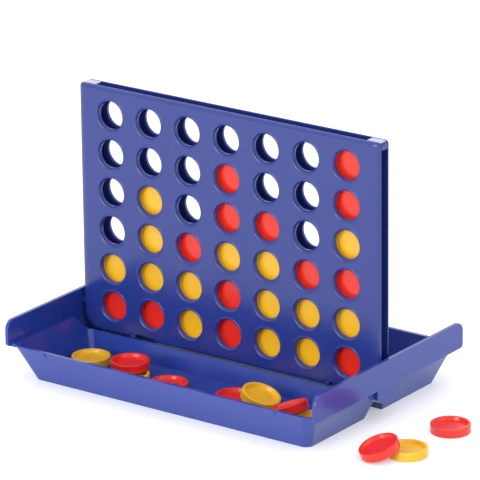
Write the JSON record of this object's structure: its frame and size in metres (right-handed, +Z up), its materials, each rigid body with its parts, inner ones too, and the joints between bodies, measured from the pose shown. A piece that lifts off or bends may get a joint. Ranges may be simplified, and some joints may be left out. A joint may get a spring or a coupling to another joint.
{
  "type": "four-in-a-row game",
  "caption": "Folding travel four-in-a-row game: an upright holed board on pins between two tapered trays, with a release bar and lift-out rimmed discs.",
  "frame": {"origin": "on the table, under the middle of the whole set with the discs laid out", "axes": "+X along the board to the right as seen from the front, +Y from the front tray to the back tray, +Z up"},
  "size_m": [0.2296, 0.1268, 0.1398],
  "materials": {
    "base_blue": "moulded, satin gloss",
    "board_blue": "moulded, satin gloss",
    "bar_blue": "moulded, satin gloss",
    "pin_blue": "moulded, satin gloss",
    "red_disc": "polished",
    "yellow_disc": "polished"
  },
  "bodies": {
    "base": {"game_base": "base_blue"},
    "pivot_pins": {"pivot_pin_left": "pin_blue", "pivot_pin_right": "pin_blue"},
    "board": {"front_grid_panel": "board_blue", "back_grid_panel": "board_blue", "column_ribs": "board_blue", "end_post_left": "board_blue", "end_post_right": "board_blue"},
    "release_bar": {"release_bar": "bar_blue"},
    "red_disc_column_1_row_1": {"red_disc_column_1_row_1": "red_disc"},
    "yellow_disc_column_1_row_2": {"yellow_disc_column_1_row_2": "yellow_disc"},
    "red_disc_column_2_row_1": {"red_disc_column_2_row_1": "red_disc"},
    "yellow_disc_column_2_row_2": {"yellow_disc_column_2_row_2": "yellow_disc"},
    "yellow_disc_column_2_row_3": {"yellow_disc_column_2_row_3": "yellow_disc"},
    "yellow_disc_column_2_row_4": {"yellow_disc_column_2_row_4": "yellow_disc"},
    "yellow_disc_column_3_row_1": {"yellow_disc_column_3_row_1": "yellow_disc"},
    "yellow_disc_column_3_row_2": {"yellow_disc_column_3_row_2": "yellow_disc"},
    "red_disc_column_3_row_3": {"red_disc_column_3_row_3": "red_disc"},
    "red_disc_column_4_row_1": {"red_disc_column_4_row_1": "red_disc"},
    "red_disc_column_4_row_2": {"red_disc_column_4_row_2": "red_disc"},
    "yellow_disc_column_4_row_3": {"yellow_disc_column_4_row_3": "yellow_disc"},
    "red_disc_column_4_row_4": {"red_disc_column_4_row_4": "red_disc"},
    "red_disc_column_4_row_5": {"red_disc_column_4_row_5": "red_disc"},
    "yellow_disc_column_5_row_1": {"yellow_disc_column_5_row_1": "yellow_disc"},
    "yellow_disc_column_5_row_2": {"yellow_disc_column_5_row_2": "yellow_disc"},
    "yellow_disc_column_5_row_3": {"yellow_disc_column_5_row_3": "yellow_disc"},
    "red_disc_column_5_row_4": {"red_disc_column_5_row_4": "red_disc"},
    "yellow_disc_column_6_row_1": {"yellow_disc_column_6_row_1": "yellow_disc"},
    "yellow_disc_column_6_row_2": {"yellow_disc_column_6_row_2": "yellow_disc"},
    "red_disc_column_6_row_3": {"red_disc_column_6_row_3": "red_disc"},
    "red_disc_column_7_row_1": {"red_disc_column_7_row_1": "red_disc"},
    "yellow_disc_column_7_row_2": {"yellow_disc_column_7_row_2": "yellow_disc"},
    "red_disc_column_7_row_3": {"red_disc_column_7_row_3": "red_disc"},
    "yellow_disc_column_7_row_4": {"yellow_disc_column_7_row_4": "yellow_disc"},
    "red_disc_column_7_row_5": {"red_disc_column_7_row_5": "red_disc"},
    "red_disc_column_7_row_6": {"red_disc_column_7_row_6": "red_disc"},
    "yellow_disc_front_tray_1": {"yellow_disc_front_tray_1": "yellow_disc"},
    "red_disc_front_tray_1": {"red_disc_front_tray_1": "red_disc"},
    "yellow_disc_front_tray_2": {"yellow_disc_front_tray_2": "yellow_disc"},
    "red_disc_front_tray_2": {"red_disc_front_tray_2": "red_disc"},
    "red_disc_front_tray_3": {"red_disc_front_tray_3": "red_disc"},
    "yellow_disc_front_tray_3": {"yellow_disc_front_tray_3": "yellow_disc"},
    "red_disc_front_tray_4": {"red_disc_front_tray_4": "red_disc"},
    "yellow_disc_front_tray_4": {"yellow_disc_front_tray_4": "yellow_disc"},
    "red_disc_back_tray_1": {"red_disc_back_tray_1": "red_disc"},
    "yellow_disc_back_tray_1": {"yellow_disc_back_tray_1": "yellow_disc"},
    "red_disc_back_tray_2": {"red_disc_back_tray_2": "red_disc"},
    "yellow_disc_back_tray_2": {"yellow_disc_back_tray_2": "yellow_disc"},
    "red_disc_table_1": {"red_disc_table_1": "red_disc"},
    "yellow_disc_table_1": {"yellow_disc_table_1": "yellow_disc"},
    "red_disc_table_2": {"red_disc_table_2": "red_disc"}
  },
  "joints": [
    {"name": "board_fold", "type": "hinge", "parent": "base", "child": "pivot_pins", "pos_m": [-0.0214, 0, 0.0242], "axis": [-1, 0, 0], "range_deg": [0, 90]},
    {"name": "board_lift", "type": "slide", "parent": "pivot_pins", "child": "board", "axis": [0, 0, 1], "range_m": [0, 0.024]},
    {"name": "release_bar_slide", "type": "slide", "parent": "board", "child": "release_bar", "axis": [1, 0, 0], "range_m": [0, 0.0118]},
    {"name": "red_disc_column_1_row_1_lift", "type": "slide", "parent": "board", "child": "red_disc_column_1_row_1", "axis": [0, 0, 1], "range_m": [0, 0.1262]},
    {"name": "yellow_disc_column_1_row_2_lift", "type": "slide", "parent": "red_disc_column_1_row_1", "child": "yellow_disc_column_1_row_2", "axis": [0, 0, 1], "range_m": [0, 0.1062]},
    {"name": "red_disc_column_2_row_1_lift", "type": "slide", "parent": "board", "child": "red_disc_column_2_row_1", "axis": [0, 0, 1], "range_m": [0, 0.1262]},
    {"name": "yellow_disc_column_2_row_2_lift", "type": "slide", "parent": "red_disc_column_2_row_1", "child": "yellow_disc_column_2_row_2", "axis": [0, 0, 1], "range_m": [0, 0.1062]},
    {"name": "yellow_disc_column_2_row_3_lift", "type": "slide", "parent": "yellow_disc_column_2_row_2", "child": "yellow_disc_column_2_row_3", "axis": [0, 0, 1], "range_m": [0, 0.0862]},
    {"name": "yellow_disc_column_2_row_4_lift", "type": "slide", "parent": "yellow_disc_column_2_row_3", "child": "yellow_disc_column_2_row_4", "axis": [0, 0, 1], "range_m": [0, 0.0662]},
    {"name": "yellow_disc_column_3_row_1_lift", "type": "slide", "parent": "board", "child": "yellow_disc_column_3_row_1", "axis": [0, 0, 1], "range_m": [0, 0.1262]},
    {"name": "yellow_disc_column_3_row_2_lift", "type": "slide", "parent": "yellow_disc_column_3_row_1", "child": "yellow_disc_column_3_row_2", "axis": [0, 0, 1], "range_m": [0, 0.1062]},
    {"name": "red_disc_column_3_row_3_lift", "type": "slide", "parent": "yellow_disc_column_3_row_2", "child": "red_disc_column_3_row_3", "axis": [0, 0, 1], "range_m": [0, 0.0862]},
    {"name": "red_disc_column_4_row_1_lift", "type": "slide", "parent": "board", "child": "red_disc_column_4_row_1", "axis": [0, 0, 1], "range_m": [0, 0.1262]},
    {"name": "red_disc_column_4_row_2_lift", "type": "slide", "parent": "red_disc_column_4_row_1", "child": "red_disc_column_4_row_2", "axis": [0, 0, 1], "range_m": [0, 0.1062]},
    {"name": "yellow_disc_column_4_row_3_lift", "type": "slide", "parent": "red_disc_column_4_row_2", "child": "yellow_disc_column_4_row_3", "axis": [0, 0, 1], "range_m": [0, 0.0862]},
    {"name": "red_disc_column_4_row_4_lift", "type": "slide", "parent": "yellow_disc_column_4_row_3", "child": "red_disc_column_4_row_4", "axis": [0, 0, 1], "range_m": [0, 0.0662]},
    {"name": "red_disc_column_4_row_5_lift", "type": "slide", "parent": "red_disc_column_4_row_4", "child": "red_disc_column_4_row_5", "axis": [0, 0, 1], "range_m": [0, 0.0462]},
    {"name": "yellow_disc_column_5_row_1_lift", "type": "slide", "parent": "board", "child": "yellow_disc_column_5_row_1", "axis": [0, 0, 1], "range_m": [0, 0.1262]},
    {"name": "yellow_disc_column_5_row_2_lift", "type": "slide", "parent": "yellow_disc_column_5_row_1", "child": "yellow_disc_column_5_row_2", "axis": [0, 0, 1], "range_m": [0, 0.1062]},
    {"name": "yellow_disc_column_5_row_3_lift", "type": "slide", "parent": "yellow_disc_column_5_row_2", "child": "yellow_disc_column_5_row_3", "axis": [0, 0, 1], "range_m": [0, 0.0862]},
    {"name": "red_disc_column_5_row_4_lift", "type": "slide", "parent": "yellow_disc_column_5_row_3", "child": "red_disc_column_5_row_4", "axis": [0, 0, 1], "range_m": [0, 0.0662]},
    {"name": "yellow_disc_column_6_row_1_lift", "type": "slide", "parent": "board", "child": "yellow_disc_column_6_row_1", "axis": [0, 0, 1], "range_m": [0, 0.1262]},
    {"name": "yellow_disc_column_6_row_2_lift", "type": "slide", "parent": "yellow_disc_column_6_row_1", "child": "yellow_disc_column_6_row_2", "axis": [0, 0, 1], "range_m": [0, 0.1062]},
    {"name": "red_disc_column_6_row_3_lift", "type": "slide", "parent": "yellow_disc_column_6_row_2", "child": "red_disc_column_6_row_3", "axis": [0, 0, 1], "range_m": [0, 0.0862]},
    {"name": "red_disc_column_7_row_1_lift", "type": "slide", "parent": "board", "child": "red_disc_column_7_row_1", "axis": [0, 0, 1], "range_m": [0, 0.1262]},
    {"name": "yellow_disc_column_7_row_2_lift", "type": "slide", "parent": "red_disc_column_7_row_1", "child": "yellow_disc_column_7_row_2", "axis": [0, 0, 1], "range_m": [0, 0.1062]},
    {"name": "red_disc_column_7_row_3_lift", "type": "slide", "parent": "yellow_disc_column_7_row_2", "child": "red_disc_column_7_row_3", "axis": [0, 0, 1], "range_m": [0, 0.0862]},
    {"name": "yellow_disc_column_7_row_4_lift", "type": "slide", "parent": "red_disc_column_7_row_3", "child": "yellow_disc_column_7_row_4", "axis": [0, 0, 1], "range_m": [0, 0.0662]},
    {"name": "red_disc_column_7_row_5_lift", "type": "slide", "parent": "yellow_disc_column_7_row_4", "child": "red_disc_column_7_row_5", "axis": [0, 0, 1], "range_m": [0, 0.0462]},
    {"name": "red_disc_column_7_row_6_lift", "type": "slide", "parent": "red_disc_column_7_row_5", "child": "red_disc_column_7_row_6", "axis": [0, 0, 1], "range_m": [0, 0.0262]},
    {"name": "yellow_disc_front_tray_1_lift", "type": "slide", "parent": "base", "child": "yellow_disc_front_tray_1", "axis": [0, 0, 1], "range_m": [0, 0.035]},
    {"name": "red_disc_front_tray_1_lift", "type": "slide", "parent": "yellow_disc_front_tray_2", "child": "red_disc_front_tray_1", "axis": [0, 0, 1], "range_m": [0, 0.035]},
    {"name": "yellow_disc_front_tray_2_lift", "type": "slide", "parent": "base", "child": "yellow_disc_front_tray_2", "axis": [0, 0, 1], "range_m": [0, 0.035]},
    {"name": "red_disc_front_tray_2_lift", "type": "slide", "parent": "base", "child": "red_disc_front_tray_2", "axis": [0, 0, 1], "range_m": [0, 0.035]},
    {"name": "red_disc_front_tray_3_lift", "type": "slide", "parent": "base", "child": "red_disc_front_tray_3", "axis": [0, 0, 1], "range_m": [0, 0.035]},
    {"name": "yellow_disc_front_tray_3_lift", "type": "slide", "parent": "red_disc_front_tray_3", "child": "yellow_disc_front_tray_3", "axis": [0, 0, 1], "range_m": [0, 0.035]},
    {"name": "red_disc_front_tray_4_lift", "type": "slide", "parent": "yellow_disc_front_tray_4", "child": "red_disc_front_tray_4", "axis": [0, 0, 1], "range_m": [0, 0.035]},
    {"name": "yellow_disc_front_tray_4_lift", "type": "slide", "parent": "base", "child": "yellow_disc_front_tray_4", "axis": [0, 0, 1], "range_m": [0, 0.035]},
    {"name": "red_disc_back_tray_1_lift", "type": "slide", "parent": "base", "child": "red_disc_back_tray_1", "axis": [0, 0, 1], "range_m": [0, 0.035]},
    {"name": "yellow_disc_back_tray_1_lift", "type": "slide", "parent": "base", "child": "yellow_disc_back_tray_1", "axis": [0, 0, 1], "range_m": [0, 0.035]},
    {"name": "red_disc_back_tray_2_lift", "type": "slide", "parent": "base", "child": "red_disc_back_tray_2", "axis": [0, 0, 1], "range_m": [0, 0.035]},
    {"name": "yellow_disc_back_tray_2_lift", "type": "slide", "parent": "base", "child": "yellow_disc_back_tray_2", "axis": [0, 0, 1], "range_m": [0, 0.035]},
    {"name": "red_disc_table_1_lift", "type": "slide", "parent": "yellow_disc_table_1", "child": "red_disc_table_1", "axis": [0, 0, 1], "range_m": [0, 0.02]},
    {"name": "yellow_disc_table_1_lift", "type": "slide", "parent": "base", "child": "yellow_disc_table_1", "axis": [0, 0, 1], "range_m": [0, 0.02]},
    {"name": "red_disc_table_2_lift", "type": "slide", "parent": "base", "child": "red_disc_table_2", "axis": [0, 0, 1], "range_m": [0, 0.02]}
  ]
}
